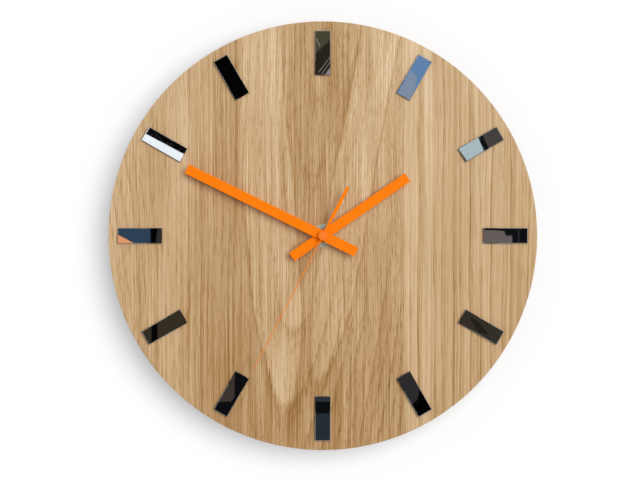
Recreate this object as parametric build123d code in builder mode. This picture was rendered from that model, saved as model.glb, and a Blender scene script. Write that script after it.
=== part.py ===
from build123d import *

import os
from math import acos, cos, degrees, radians, sin, tan

# Round oak-faced wall clock with mirror hour bars, flat hands and a battery quartz movement.
# Frame: +Z up, +X to the viewer's right, the viewer on the -Y side. The origin is on the dial axis
# in the plane of the wall, so every depth below is a distance from the wall towards the viewer.
# Sizes are in millimetres, and angles in degrees.

# Dial board
dial_diameter = 330.0
core_thickness = 8.8
veneer_thickness = 0.6
edge_band_thickness = 0.8
rim_round = 0.3
bush_hole_clearance = 0.3

# Hour bars and the tape that holds them
hour_count = 12
marker_length = 34.0
marker_width = 11.7
marker_thickness = 2.0
marker_chamfer = 0.2
marker_rim_margin = 7.5
tape_thickness = 0.2
tape_margin = 0.8

# Hands, with their angles clockwise from twelve
hand_width = 7.6
hand_thickness = 0.5
hand_edge_round = 0.12
hand_corner = 0.5
hour_hand_length = 79.0
hour_hand_tail = 29.0
hour_hand_angle = 55.4
minute_hand_length = 116.3
minute_hand_tail = 28.7
minute_hand_angle = 296.2
second_hand_length = 114.0
second_hand_tail = 43.0
second_hand_thickness = 0.3
second_hand_angle = 207.4
needle_root_width = 0.7
needle_tip_width = 0.4
counterweight_width = 2.6
counterweight_start = 16.0
cap_diameter = 7.6
cap_height = 1.2
cap_edge_round = 0.8
cap_tube_radius = 0.95
cap_tube_length = 0.8
collar_neck_wall = 0.4
collar_flange_wall = 1.2
hour_collar_flange = 1.2
minute_collar_flange = 0.8

# Centre hardware
bush_diameter = 8.0
bush_shoulder_diameter = 10.0
bush_shoulder = 0.8
bush_protrusion = 0.4
thread_clearance = 0.05
gasket_diameter = 18.0
gasket_thickness = 1.0
washer_diameter = 18.0
washer_thickness = 0.6
nut_sides = 6
nut_across_flats = 12.0
nut_thickness = 2.4
nut_chamfer = 0.4

# Coaxial shafts and their fits
second_arbor_radius = 0.5
minute_tube_radius = 1.6
minute_tail_radius = 1.2
hour_pipe_radius = 2.5
running_clearance = 0.08
hand_gap = 0.5
shaft_protrusion = 0.2

# Battery, a standard AA cell lying across the foot of the movement
battery_diameter = 14.2
battery_length = 49.5
battery_nub_diameter = 5.2
battery_nub_length = 1.2
battery_edge_round = 0.6
wrap_thickness = 0.15
wrap_end_margin = 0.6
bay_clearance = 0.3

# Movement case
case_wall = 1.2
cover_ledge = 0.6
case_corner = 3.0
case_edge_round = 0.5
room_corner = 0.8
front_plate = 1.2
divider_wall = 1.2
gear_room_height = 36.4
contact_room = 2.9
cover_thickness = 1.2
cover_gap = 0.15

# Hanger loop on the case's top edge
hanger_hole_diameter = 6.0
hanger_rim = 3.2
hanger_thickness = 2.0
hanger_setback = 1.0
hanger_hole_rise = 4.6
hanger_root_spread = 4.0

# Gear teeth
pressure_angle = 25.0
addendum = 0.8
dedendum = 1.05
tooth_share = 0.44

# Train from the motor to the centre gear, and the motion work that drives the hour hand
rotor_pinion_teeth = 10
intermediate_wheel_teeth = 50
intermediate_pinion_teeth = 10
second_wheel_teeth = 60
second_pinion_teeth = 10
third_wheel_teeth = 80
third_pinion_teeth = 10
centre_gear_teeth = 75
cannon_teeth = 12
minute_wheel_teeth = 36
minute_pinion_teeth = 10
hour_wheel_teeth = 40
rotor_module = 0.25
seconds_module = 0.28
third_module = 0.22
motion_module = 0.45
intermediate_direction = 28.0
rotor_direction = -38.0
third_direction = 200.0
minute_wheel_direction = 140.0

# Wheels, pivots and the bridge that carries their rear pivots
wheel_thickness = 1.1
level_gap = 0.4
pivot_radius = 0.5
pivot_depth = 0.7
setting_shaft_radius = 0.8
clutch_spring_radius = 2.6
clutch_spring_slack = 0.05
bridge_thickness = 1.2
bridge_rim = 3.0
pillar_radius = 2.0
stake_radius = 0.8
pillar_inset = 5.0
upper_pillar_x = 3.0
side_pillar_z = 2.0

# Setting knob in its well
knob_diameter = 10.0
knob_inset = 0.3
knob_gap = 0.3
knob_grooves = 24
knob_groove_radius = 0.4
knob_bore_depth = 1.4
well_finger_gap = 2.0
well_wall = 0.9

# Stepping motor
magnet_radius = 2.5
magnet_length = 3.0
rotor_shaft_radius = 0.7
stator_hole_radius = 2.9
stator_ring_radius = 4.2
stator_strip_width = 5.2
stator_thickness = 1.0
stator_half_length = 12.5
stator_lug_width = 3.0
stator_post_radius = 1.5
stator_pin_radius = 0.7
core_bar_width = 3.0
core_bar_thickness = 1.0
bobbin_radius = 3.0
bobbin_tube_radius = 1.9
bobbin_flange = 0.8
bobbin_gap = 0.3
winding_radius = 2.7
coil_wall_gap = 0.4
fit_clearance = 0.05

# Circuit board and what it carries
board_width = 14.4
board_height = 7.0
board_thickness = 1.0
board_margin = 0.2
board_cover_gap = 0.8
board_post_radius = 1.3
board_pin_radius = 0.6
board_post_inset = 1.8
crystal_radius = 1.0
crystal_length = 6.0
crystal_rise = 1.8
chip_radius = 1.4
chip_height = 0.8
chip_edge_round = 0.5
chip_drop = 1.5

# Battery contacts, bent from one width of strip
strip_thickness = 0.4
strip_width = 5.0
strip_landing = 0.5
leaf_bend_share = 0.45
contact_gap = 0.1
slot_clearance = 0.1

# Depths from the wall
case_depth = front_plate + battery_diameter + 2 * bay_clearance
inner_front = case_depth - front_plate
dial_back = case_depth + gasket_thickness
core_back = dial_back + veneer_thickness
core_front = core_back + core_thickness
dial_front = core_front + veneer_thickness
marker_back = dial_front + tape_thickness
nut_back = dial_front + washer_thickness
nut_front = nut_back + nut_thickness
bush_front = nut_front + bush_protrusion
hour_collar_back = bush_front + hand_gap
hour_hand_back = hour_collar_back + hour_collar_flange
hour_pipe_front = hour_hand_back + hand_thickness + shaft_protrusion
minute_collar_back = hour_pipe_front + hand_gap
minute_hand_back = minute_collar_back + minute_collar_flange
minute_tube_front = minute_hand_back + hand_thickness + shaft_protrusion
cap_tube_back = minute_tube_front + hand_gap
second_hand_back = cap_tube_back + cap_tube_length
cap_back = second_hand_back + second_hand_thickness
second_arbor_front = cap_back + cap_height / 2

# Radius of the ring of hour bars, set in from the board's rim
marker_ring_radius = dial_diameter / 2 - marker_rim_margin - marker_length / 2

# Plan of the movement case, seen from the front
inner_wall = case_wall + cover_ledge
gear_room_width = battery_length + contact_room
case_width = gear_room_width + 2 * inner_wall
bay_height = battery_diameter + 2 * bay_clearance
case_height = gear_room_height + divider_wall + bay_height + 2 * inner_wall
room_top = gear_room_height / 2
room_right = gear_room_width / 2
case_top = room_top + inner_wall
case_centre = (0, case_top - case_height / 2)
bay_top = -room_top - divider_wall
battery_z = bay_top - bay_height / 2
battery_depth = inner_front - bay_clearance - battery_diameter / 2
hanger_z = case_top + hanger_hole_rise


def level(number):
    """Depth of the back of a wheel, counting the wheels' levels from the front plate."""
    return inner_front - (number + 1) * (wheel_thickness + level_gap)


hour_level = level(0)
motion_level = level(1)
centre_level = level(2)
third_level = level(3)
second_level = level(4)
intermediate_level = level(5)
bridge_front = intermediate_level - level_gap
bridge_back = bridge_front - bridge_thickness
pivot_front = inner_front + pivot_depth - running_clearance
well_floor_front = bridge_back - level_gap
well_floor_back = well_floor_front - well_wall
knob_front = well_floor_back - knob_gap
stator_back = third_level
stator_front = stator_back + stator_thickness
core_bar_depth = stator_back - core_bar_thickness / 2
magnet_back = stator_back + stator_thickness / 2 - magnet_length / 2
board_back = cover_thickness + board_cover_gap
board_front = board_back + board_thickness
strip_back = board_front


def from_axis(centre, distance, direction):
    """Point (x, z) at a distance and a direction, counter-clockwise from +X, from another point."""
    return (
        centre[0] + distance * cos(radians(direction)),
        centre[1] + distance * sin(radians(direction)),
    )


def spacing(module, teeth, mating_teeth):
    """Distance between the axes of two meshing gears."""
    return module * (teeth + mating_teeth) / 2


# Wheel axes, and the modules that follow from shared centre distances
centre_axis = (0.0, 0.0)
intermediate_spacing = spacing(seconds_module, intermediate_pinion_teeth, second_wheel_teeth)
rotor_spacing = spacing(rotor_module, rotor_pinion_teeth, intermediate_wheel_teeth)
third_spacing = spacing(third_module, second_pinion_teeth, third_wheel_teeth)
motion_spacing = spacing(motion_module, cannon_teeth, minute_wheel_teeth)
centre_module = 2 * third_spacing / (third_pinion_teeth + centre_gear_teeth)
hour_module = 2 * motion_spacing / (minute_pinion_teeth + hour_wheel_teeth)
intermediate_axis = from_axis(centre_axis, intermediate_spacing, intermediate_direction)
rotor_axis = from_axis(intermediate_axis, rotor_spacing, rotor_direction)
third_axis = from_axis(centre_axis, third_spacing, third_direction)
setting_axis = from_axis(centre_axis, motion_spacing, minute_wheel_direction)
front_pivots = [intermediate_axis, rotor_axis, third_axis, setting_axis]
coil_x = room_right - coil_wall_gap - bobbin_radius
lug_centre = stator_half_length - stator_lug_width / 2
stator_posts = [(rotor_axis[0], rotor_axis[1] + side * lug_centre) for side in (1, -1)]
pillars = [
    (upper_pillar_x, room_top - pillar_inset),
    (upper_pillar_x, pillar_inset - room_top),
    (pillar_inset - room_right, side_pillar_z),
]
board_centre = (
    room_right - board_margin - board_width / 2,
    board_margin + board_height / 2 - room_top,
)
board_left = board_centre[0] - board_width / 2
board_post_z = board_centre[1] - board_height / 2 + board_post_inset
board_posts = [
    (board_left + board_post_inset, board_post_z),
    (board_left + board_width - board_post_inset, board_post_z),
]

ON_PLANE = (Align.CENTER, Align.CENTER, Align.MIN)


def at_depth(depth, centre=centre_axis, clock_angle=0.0):
    """Plane parallel to the wall and facing the viewer, whose local Y points to a clock angle."""
    across = (cos(radians(clock_angle)), 0, -sin(radians(clock_angle)))
    return Plane(origin=(centre[0], -depth, centre[1]), x_dir=across, z_dir=(0, -1, 0))


def involute(angle):
    """Involute function of a pressure angle in degrees, as an angle in degrees."""
    return degrees(tan(radians(angle))) - angle


def root_radius(teeth, module):
    """Radius of a gear at the bottom of its teeth."""
    return module * (teeth / 2 - dedendum)


def gear_face(teeth, module, depth, centre, phase):
    """Face of a spur gear with involute flanks, with one tooth centred on the phase angle."""
    pitch_radius = module * teeth / 2
    base_radius = pitch_radius * cos(radians(pressure_angle))
    radii = (root_radius(teeth, module), pitch_radius, pitch_radius + addendum * module)
    half_pitch = 180 / teeth
    half_angles = []
    for radius in radii:
        lean = degrees(acos(min(1.0, base_radius / radius)))
        half_angles.append(tooth_share * half_pitch + involute(pressure_angle) - involute(lean))
    with BuildSketch(at_depth(depth, centre)) as face:
        with BuildLine():
            for tooth in range(teeth):
                middle = phase + 2 * half_pitch * tooth
                rising = [from_axis((0, 0), r, middle - a) for r, a in zip(radii, half_angles)]
                falling = [from_axis((0, 0), r, middle + a) for r, a in zip(radii, half_angles)]
                next_root = from_axis((0, 0), radii[0], middle + 2 * half_pitch - half_angles[0])
                ThreePointArc(*rising)
                Line(rising[-1], falling[-1])
                ThreePointArc(*reversed(falling))
                Line(falling[0], next_root)
        make_face()
    return face.sketch


def meshing_phase(teeth, phase, mating_teeth, line_direction):
    """Phase of a gear that meshes with another across the line between their axes."""
    share = (line_direction - phase) * teeth / 360
    return line_direction + 180 - (0.5 - share) * 360 / mating_teeth


intermediate_wheel_phase = meshing_phase(
    rotor_pinion_teeth, 0, intermediate_wheel_teeth, rotor_direction + 180
)
second_wheel_phase = meshing_phase(
    intermediate_pinion_teeth, 0, second_wheel_teeth, intermediate_direction + 180
)
third_wheel_phase = meshing_phase(second_pinion_teeth, 0, third_wheel_teeth, third_direction)
centre_gear_phase = meshing_phase(third_pinion_teeth, 0, centre_gear_teeth, third_direction + 180)
minute_wheel_phase = meshing_phase(cannon_teeth, 0, minute_wheel_teeth, minute_wheel_direction)
hour_wheel_phase = meshing_phase(minute_pinion_teeth, 0, hour_wheel_teeth, minute_wheel_direction + 180)


def shaft(back, front, radius, centre=centre_axis, mode=Mode.ADD):
    """Adds a plain round shaft between two depths to the part being built, or drills it out."""
    with Locations(at_depth(back, centre)):
        Cylinder(radius, front - back, align=ON_PLANE, mode=mode)


def save(piece, name):
    """Labels a finished piece and writes it to its own file."""
    piece.part.label = name
    export_step(piece.part, f"parts/{name}.step")


os.makedirs("parts", exist_ok=True)

# Dial board: a fibreboard core with an oak band round its edge and oak veneer on both faces
bush_hole_radius = bush_diameter / 2 + bush_hole_clearance
core_radius = dial_diameter / 2 - edge_band_thickness

with BuildPart() as dial_core:
    with BuildSketch(at_depth(core_back)):
        Circle(core_radius)
        Circle(bush_hole_radius, mode=Mode.SUBTRACT)
    extrude(amount=core_thickness)
save(dial_core, "dial_core")

with BuildPart() as oak_edge_band:
    with BuildSketch(at_depth(core_back)):
        Circle(dial_diameter / 2)
        Circle(core_radius, mode=Mode.SUBTRACT)
    extrude(amount=core_thickness)
save(oak_edge_band, "oak_edge_band")

with BuildPart() as oak_face_veneer:
    with BuildSketch(at_depth(core_front)):
        Circle(dial_diameter / 2)
        Circle(bush_hole_radius, mode=Mode.SUBTRACT)
    extrude(amount=veneer_thickness)
    fillet(oak_face_veneer.faces().sort_by(Axis.Y)[0].outer_wire().edges(), rim_round)
save(oak_face_veneer, "oak_face_veneer")

with BuildPart() as oak_back_veneer:
    with BuildSketch(at_depth(dial_back)):
        Circle(dial_diameter / 2)
        Circle(bush_hole_radius, mode=Mode.SUBTRACT)
    extrude(amount=veneer_thickness)
    fillet(oak_back_veneer.faces().sort_by(Axis.Y)[-1].outer_wire().edges(), rim_round)
save(oak_back_veneer, "oak_back_veneer")

# Hour bars of mirror acrylic, each on a strip of double-sided tape
for hour in range(1, hour_count + 1):
    with BuildPart() as hour_marker:
        with BuildSketch(at_depth(marker_back, clock_angle=360 * hour / hour_count)):
            with Locations((0, marker_ring_radius)):
                Rectangle(marker_width, marker_length)
        extrude(amount=marker_thickness)
        chamfer(hour_marker.faces().sort_by(Axis.Y)[0].edges(), marker_chamfer)
    save(hour_marker, f"hour_marker_{hour:02d}")

with BuildPart() as marker_tapes:
    with BuildSketch(at_depth(dial_front)):
        with PolarLocations(marker_ring_radius, hour_count):
            Rectangle(marker_length - 2 * tape_margin, marker_width - 2 * tape_margin)
    extrude(amount=tape_thickness)
save(marker_tapes, "marker_tapes")

# Centre hardware that clamps the board to the movement
with BuildPart() as rubber_gasket:
    with BuildSketch(at_depth(case_depth)):
        Circle(gasket_diameter / 2)
        Circle(bush_diameter / 2 + thread_clearance, mode=Mode.SUBTRACT)
    extrude(amount=gasket_thickness)
save(rubber_gasket, "rubber_gasket")

with BuildPart() as steel_washer:
    with BuildSketch(at_depth(dial_front)):
        Circle(washer_diameter / 2)
        Circle(bush_diameter / 2 + thread_clearance, mode=Mode.SUBTRACT)
    extrude(amount=washer_thickness)
save(steel_washer, "steel_washer")

with BuildPart() as hex_nut:
    with BuildSketch(at_depth(nut_back)):
        RegularPolygon(nut_across_flats / 2, nut_sides, major_radius=False)
    extrude(amount=nut_thickness)
    chamfer(hex_nut.faces().sort_by(Axis.Y)[0].edges(), nut_chamfer)
    shaft(nut_back, nut_front, bush_diameter / 2 + thread_clearance, mode=Mode.SUBTRACT)
save(hex_nut, "hex_nut")

with BuildPart() as threaded_bush:
    shaft(inner_front, bush_front, bush_diameter / 2)
    shaft(case_depth - bush_shoulder, case_depth, bush_shoulder_diameter / 2)
    shaft(inner_front, bush_front, hour_pipe_radius + running_clearance, mode=Mode.SUBTRACT)
save(threaded_bush, "threaded_bush")

# Hour and minute hands: flat painted strips riveted to brass collars that press onto their tubes

def save_strip_hand(hand_name, reach, tail, angle, hand_back, collar_flange, tube_radius):
    """Makes a strip hand and its collar, and saves both."""
    neck_radius = tube_radius + collar_neck_wall
    with BuildPart() as strip_hand:
        with BuildSketch(at_depth(hand_back, clock_angle=angle)):
            with Locations((0, (reach - tail) / 2)):
                RectangleRounded(hand_width, reach + tail, hand_corner)
        extrude(amount=hand_thickness)
        fillet(strip_hand.faces().sort_by(Axis.Y)[0].edges(), hand_edge_round)
        shaft(hand_back, hand_back + hand_thickness, neck_radius, mode=Mode.SUBTRACT)
    save(strip_hand, hand_name)

    with BuildPart() as collar:
        shaft(hand_back - collar_flange, hand_back, tube_radius + collar_flange_wall)
        shaft(hand_back, hand_back + hand_thickness, neck_radius)
        shaft(hand_back - collar_flange, hand_back + hand_thickness, tube_radius, mode=Mode.SUBTRACT)
    save(collar, f"{hand_name}_collar")


save_strip_hand(
    "hour_hand",
    hour_hand_length,
    hour_hand_tail,
    hour_hand_angle,
    hour_hand_back,
    hour_collar_flange,
    hour_pipe_radius,
)
save_strip_hand(
    "minute_hand",
    minute_hand_length,
    minute_hand_tail,
    minute_hand_angle,
    minute_hand_back,
    minute_collar_flange,
    minute_tube_radius,
)

# Seconds hand: a tapering needle with a lance-shaped counterweight, held under a domed cap
with BuildPart() as second_hand:
    with BuildSketch(at_depth(second_hand_back, clock_angle=second_hand_angle)):
        with BuildLine():
            Polyline(
                (-needle_root_width / 2, 0),
                (-needle_tip_width / 2, second_hand_length),
                (needle_tip_width / 2, second_hand_length),
                (needle_root_width / 2, 0),
                (counterweight_width / 2, -counterweight_start),
                (counterweight_width / 2, counterweight_width - second_hand_tail),
                (0, -second_hand_tail),
                (-counterweight_width / 2, counterweight_width - second_hand_tail),
                (-counterweight_width / 2, -counterweight_start),
                close=True,
            )
        make_face()
        Circle(cap_diameter / 2 - cap_height / 2)
    extrude(amount=second_hand_thickness)
    shaft(second_hand_back, cap_back, cap_tube_radius, mode=Mode.SUBTRACT)
save(second_hand, "second_hand")

with BuildPart() as second_hand_cap:
    with BuildSketch(at_depth(cap_back)):
        Circle(cap_diameter / 2)
    extrude(amount=cap_height)
    fillet(second_hand_cap.faces().sort_by(Axis.Y)[0].edges(), cap_edge_round)
    shaft(cap_tube_back, cap_back, cap_tube_radius)
    shaft(cap_tube_back, second_arbor_front, second_arbor_radius, mode=Mode.SUBTRACT)
save(second_hand_cap, "second_hand_cap")

# Movement case: a tray with a gear room, a battery bay below it and a hanger loop on top
with BuildPart() as movement_case:
    with BuildSketch(at_depth(0, case_centre)):
        RectangleRounded(case_width, case_height, case_corner)
    extrude(amount=case_depth)
    for end in (0, -1):
        fillet(movement_case.faces().sort_by(Axis.Y)[end].edges(), case_edge_round)
    with BuildSketch(at_depth(hanger_setback)):
        with Locations((0, hanger_z)):
            Circle(hanger_hole_diameter / 2 + hanger_rim)
        with Locations((0, case_top - case_wall / 2)):
            Rectangle(hanger_hole_diameter + 2 * (hanger_rim + hanger_root_spread), case_wall)
        make_hull()
        with Locations((0, hanger_z)):
            Circle(hanger_hole_diameter / 2, mode=Mode.SUBTRACT)
    extrude(amount=hanger_thickness)
    with BuildSketch(at_depth(0)):
        RectangleRounded(gear_room_width + 2 * cover_ledge, gear_room_height + 2 * cover_ledge, room_corner)
    extrude(amount=cover_thickness, mode=Mode.SUBTRACT)
    with BuildSketch(at_depth(0)):
        RectangleRounded(gear_room_width, gear_room_height, room_corner)
        with Locations((0, battery_z)):
            RectangleRounded(gear_room_width, bay_height, room_corner)
    extrude(amount=inner_front, mode=Mode.SUBTRACT)
    for pillar in pillars:
        shaft(bridge_front, inner_front, pillar_radius, pillar)
        shaft(bridge_back, bridge_front, stake_radius, pillar)
    for post in stator_posts:
        shaft(stator_front, inner_front, stator_post_radius, post)
        shaft(stator_back, stator_front, stator_pin_radius, post)
    for post in board_posts:
        shaft(board_front, inner_front, board_post_radius, post)
        shaft(board_back, board_front, board_pin_radius, post)
    for pivot in front_pivots:
        shaft(inner_front, inner_front + pivot_depth, pivot_radius + running_clearance, pivot, Mode.SUBTRACT)
    bush_seat_radius = bush_shoulder_diameter / 2 + fit_clearance
    shaft(inner_front, case_depth, bush_diameter / 2 + fit_clearance, mode=Mode.SUBTRACT)
    shaft(case_depth - bush_shoulder, case_depth, bush_seat_radius, mode=Mode.SUBTRACT)
    # Slots through the dividing wall for the two contact strips
    slot_width = strip_thickness + slot_clearance
    with BuildSketch(at_depth(strip_back - slot_clearance)):
        for side in (1, -1):
            with Locations((side * (room_right - slot_width / 2), -room_top - divider_wall / 2)):
                Rectangle(slot_width, divider_wall + 2 * room_corner)
    extrude(amount=strip_width + 2 * slot_clearance, mode=Mode.SUBTRACT)
save(movement_case, "movement_case")

# Rear cover: a plate set flush in the case, with a round well for the setting knob
well_radius = knob_diameter / 2 + well_finger_gap
with BuildPart() as movement_cover:
    with BuildSketch(at_depth(0)):
        RectangleRounded(
            gear_room_width + 2 * (cover_ledge - cover_gap),
            gear_room_height + 2 * (cover_ledge - cover_gap),
            room_corner,
        )
    extrude(amount=cover_thickness)
    shaft(0, well_floor_front, well_radius + well_wall, setting_axis)
    shaft(0, well_floor_back, well_radius, setting_axis, Mode.SUBTRACT)
    shaft(0, well_floor_front, setting_shaft_radius + running_clearance, setting_axis, Mode.SUBTRACT)
save(movement_cover, "movement_cover")

# Bridge on three pillars, with a running hole for each rear pivot
with BuildPart() as train_bridge:
    with BuildSketch(at_depth(bridge_back)):
        for carried in (*pillars, rotor_axis, third_axis):
            with Locations(carried):
                Circle(bridge_rim)
        make_hull()
        for pillar in pillars:
            with Locations(pillar):
                Circle(stake_radius + fit_clearance, mode=Mode.SUBTRACT)
        for pivot in (centre_axis, intermediate_axis, rotor_axis, third_axis):
            with Locations(pivot):
                Circle(pivot_radius + running_clearance, mode=Mode.SUBTRACT)
        with Locations(setting_axis):
            Circle(setting_shaft_radius + running_clearance, mode=Mode.SUBTRACT)
    extrude(amount=bridge_thickness)
save(train_bridge, "train_bridge")


def gear(teeth, module, depth, centre, phase=0.0):
    """Adds a gear one wheel thick to the part being built."""
    extrude(gear_face(teeth, module, depth, centre, phase), wheel_thickness)


def hub(back_level, front_level, teeth, module, centre):
    """Joins a wheel to its pinion on the next level, no wider than the bottom of the pinion's teeth."""
    shaft(back_level + wheel_thickness, front_level, root_radius(teeth, module), centre)


# Motion work: hour wheel on its pipe, minute arbor with cannon pinion, and the wheel between them
with BuildPart() as hour_wheel:
    gear(hour_wheel_teeth, hour_module, hour_level, centre_axis, hour_wheel_phase)
    shaft(hour_level, hour_pipe_front, hour_pipe_radius)
    shaft(hour_level, hour_pipe_front, minute_tube_radius + running_clearance, mode=Mode.SUBTRACT)
save(hour_wheel, "hour_wheel")

minute_arbor_back = centre_level - level_gap / 2
with BuildPart() as minute_arbor:
    gear(cannon_teeth, motion_module, motion_level, centre_axis)
    shaft(minute_arbor_back, motion_level, minute_tail_radius)
    shaft(motion_level, minute_tube_front, minute_tube_radius)
    shaft(minute_arbor_back, minute_tube_front, second_arbor_radius + running_clearance, mode=Mode.SUBTRACT)
save(minute_arbor, "minute_arbor")

with BuildPart() as minute_wheel:
    gear(minute_wheel_teeth, motion_module, motion_level, setting_axis, minute_wheel_phase)
    gear(minute_pinion_teeth, hour_module, hour_level, setting_axis)
    hub(motion_level, hour_level, minute_pinion_teeth, hour_module, setting_axis)
    shaft(knob_front - knob_bore_depth, motion_level, setting_shaft_radius, setting_axis)
    shaft(hour_level + wheel_thickness, pivot_front, pivot_radius, setting_axis)
save(minute_wheel, "minute_wheel")

with BuildPart() as setting_knob:
    with BuildSketch(at_depth(knob_inset, setting_axis)):
        Circle(knob_diameter / 2)
        with PolarLocations(knob_diameter / 2, knob_grooves):
            Circle(knob_groove_radius, mode=Mode.SUBTRACT)
    extrude(amount=knob_front - knob_inset)
    shaft(knob_front - knob_bore_depth, knob_front, setting_shaft_radius, setting_axis, Mode.SUBTRACT)
save(setting_knob, "setting_knob")

# Friction clutch: the centre gear turns on the arbor's tail, and a spring washer drags the arbor round
with BuildPart() as centre_gear:
    gear(centre_gear_teeth, centre_module, centre_level, centre_axis, centre_gear_phase)
    tail_bore_radius = minute_tail_radius + running_clearance
    shaft(centre_level, centre_level + wheel_thickness, tail_bore_radius, mode=Mode.SUBTRACT)
save(centre_gear, "centre_gear")

with BuildPart() as clutch_spring:
    with BuildSketch(at_depth(centre_level + wheel_thickness + clutch_spring_slack)):
        Circle(clutch_spring_radius)
        Circle(minute_tail_radius, mode=Mode.SUBTRACT)
    extrude(amount=level_gap - 2 * clutch_spring_slack)
save(clutch_spring, "clutch_spring")

# Going train: third wheel, seconds wheel on its steel arbor, intermediate wheel and rotor
with BuildPart() as third_wheel:
    gear(third_wheel_teeth, third_module, third_level, third_axis, third_wheel_phase)
    gear(third_pinion_teeth, centre_module, centre_level, third_axis)
    hub(third_level, centre_level, third_pinion_teeth, centre_module, third_axis)
    shaft(bridge_back, third_level, pivot_radius, third_axis)
    shaft(centre_level + wheel_thickness, pivot_front, pivot_radius, third_axis)
save(third_wheel, "third_wheel")

with BuildPart() as second_wheel:
    gear(second_wheel_teeth, seconds_module, second_level, centre_axis, second_wheel_phase)
    gear(second_pinion_teeth, third_module, third_level, centre_axis)
    hub(second_level, third_level, second_pinion_teeth, third_module, centre_axis)
    shaft(second_level, third_level + wheel_thickness, second_arbor_radius, mode=Mode.SUBTRACT)
save(second_wheel, "second_wheel")

with BuildPart() as second_arbor:
    shaft(bridge_back, second_arbor_front, second_arbor_radius)
save(second_arbor, "second_arbor")

with BuildPart() as intermediate_wheel:
    wheel_phase = intermediate_wheel_phase
    gear(intermediate_wheel_teeth, rotor_module, intermediate_level, intermediate_axis, wheel_phase)
    gear(intermediate_pinion_teeth, seconds_module, second_level, intermediate_axis)
    hub(intermediate_level, second_level, intermediate_pinion_teeth, seconds_module, intermediate_axis)
    shaft(bridge_back, intermediate_level, pivot_radius, intermediate_axis)
    shaft(second_level + wheel_thickness, pivot_front, pivot_radius, intermediate_axis)
save(intermediate_wheel, "intermediate_wheel")

with BuildPart() as rotor_pinion:
    gear(rotor_pinion_teeth, rotor_module, intermediate_level, rotor_axis)
    shaft(intermediate_level, magnet_back + magnet_length, rotor_shaft_radius, rotor_axis)
    shaft(bridge_back, pivot_front, pivot_radius, rotor_axis)
save(rotor_pinion, "rotor_pinion")

with BuildPart() as rotor_magnet:
    shaft(magnet_back, magnet_back + magnet_length, magnet_radius, rotor_axis)
    shaft(magnet_back, magnet_back + magnet_length, rotor_shaft_radius, rotor_axis, Mode.SUBTRACT)
save(rotor_magnet, "rotor_magnet")

# Stepping motor: a C-shaped stator round the rotor, closed by a core bar that carries the coil
lug_reach = coil_x + core_bar_width / 2 - rotor_axis[0]
with BuildPart() as stator:
    with BuildSketch(at_depth(stator_back, rotor_axis)):
        Rectangle(stator_strip_width, 2 * stator_half_length)
        Circle(stator_ring_radius)
        for side in (1, -1):
            with Locations((lug_reach / 2, side * lug_centre)):
                Rectangle(lug_reach, stator_lug_width)
            with Locations((0, side * lug_centre)):
                Circle(stator_pin_radius + fit_clearance, mode=Mode.SUBTRACT)
        Circle(stator_hole_radius, mode=Mode.SUBTRACT)
    extrude(amount=stator_thickness)
save(stator, "stator")

with BuildPart() as coil_core:
    with BuildSketch(at_depth(stator_back - core_bar_thickness, (coil_x, rotor_axis[1]))):
        Rectangle(core_bar_width, 2 * stator_half_length)
    extrude(amount=core_bar_thickness)
save(coil_core, "coil_core")

bobbin_length = 2 * (stator_half_length - stator_lug_width - bobbin_gap)
bobbin_foot = Plane(origin=(coil_x, -core_bar_depth, rotor_axis[1] - bobbin_length / 2))
with BuildPart() as coil_bobbin:
    with BuildSketch(bobbin_foot):
        Circle(bobbin_tube_radius)
    extrude(amount=bobbin_length)
    with BuildSketch(bobbin_foot, bobbin_foot.offset(bobbin_length - bobbin_flange)):
        Circle(bobbin_radius)
    extrude(amount=bobbin_flange)
    with BuildSketch(bobbin_foot):
        Rectangle(core_bar_width + 2 * fit_clearance, core_bar_thickness + 2 * fit_clearance)
    extrude(amount=bobbin_length, mode=Mode.SUBTRACT)
save(coil_bobbin, "coil_bobbin")

with BuildPart() as coil_winding:
    with BuildSketch(bobbin_foot.offset(bobbin_flange)):
        Circle(winding_radius)
        Circle(bobbin_tube_radius, mode=Mode.SUBTRACT)
    extrude(amount=bobbin_length - 2 * bobbin_flange)
save(coil_winding, "coil_winding")

# Circuit board on two staked posts, with its crystal can and its blob of potting over the chip
with BuildPart() as circuit_board:
    with BuildSketch(at_depth(board_back, board_centre)):
        RectangleRounded(board_width, board_height, room_corner)
    extrude(amount=board_thickness)
    for post in board_posts:
        shaft(board_back, board_front, board_pin_radius + fit_clearance, post, Mode.SUBTRACT)
save(circuit_board, "circuit_board")

with BuildPart() as quartz_crystal:
    crystal_end = Plane(
        origin=(
            board_centre[0] - crystal_length / 2,
            -board_front - crystal_radius,
            board_centre[1] + crystal_rise,
        ),
        x_dir=(0, 0, 1),
        z_dir=(1, 0, 0),
    )
    with BuildSketch(crystal_end):
        Circle(crystal_radius)
    extrude(amount=crystal_length)
save(quartz_crystal, "quartz_crystal")

with BuildPart() as chip_blob:
    chip_centre = (board_centre[0], board_centre[1] - chip_drop)
    shaft(board_front, board_front + chip_height, chip_radius, chip_centre)
    fillet(chip_blob.faces().sort_by(Axis.Y)[0].edges(), chip_edge_round)
save(chip_blob, "chip_blob")

# Battery cell with its printed sleeve, lying along X with its nub to the right
battery_end = room_right - strip_thickness - contact_gap
cell_start = Plane(
    origin=(battery_end - battery_length, -battery_depth, battery_z), x_dir=(0, 0, 1), z_dir=(1, 0, 0)
)
can_length = battery_length - battery_nub_length
with BuildPart() as battery_cell:
    with BuildSketch(cell_start):
        Circle(battery_diameter / 2 - wrap_thickness)
    extrude(amount=can_length)
    fillet(battery_cell.edges().filter_by(GeomType.CIRCLE), battery_edge_round)
    with BuildSketch(cell_start.offset(can_length)):
        Circle(battery_nub_diameter / 2)
    extrude(amount=battery_nub_length)
save(battery_cell, "battery_cell")

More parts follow.
